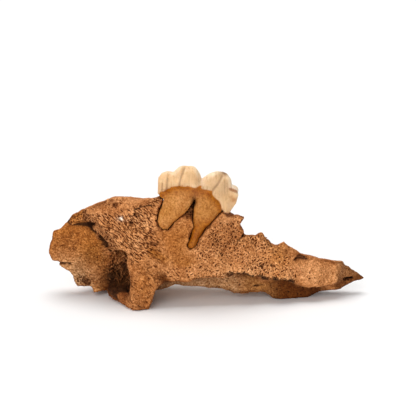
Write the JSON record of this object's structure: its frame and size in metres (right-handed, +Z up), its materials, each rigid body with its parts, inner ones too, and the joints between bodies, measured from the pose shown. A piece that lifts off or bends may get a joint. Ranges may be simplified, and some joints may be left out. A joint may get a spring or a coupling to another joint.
{
  "type": "fossil cave bear jaw",
  "caption": "Broken piece of a cave bear's upper jaw, lying teeth up, with a molar standing in its sockets.",
  "frame": {"origin": "middle of the jaw's bounding box, on the surface that it stands on", "axes": "+X along the tooth row to the snout end, +Y from the cheek side to the palate side, +Z up"},
  "size_m": [0.1022, 0.0358, 0.0441],
  "materials": {
    "bone": "dry, porous, tan to rust-brown fossil bone",
    "tooth": "satin cream enamel over caramel-brown roots"
  },
  "bodies": {
    "root": {"jaw_bone": "bone", "molar": "tooth"}
  },
  "joints": []
}
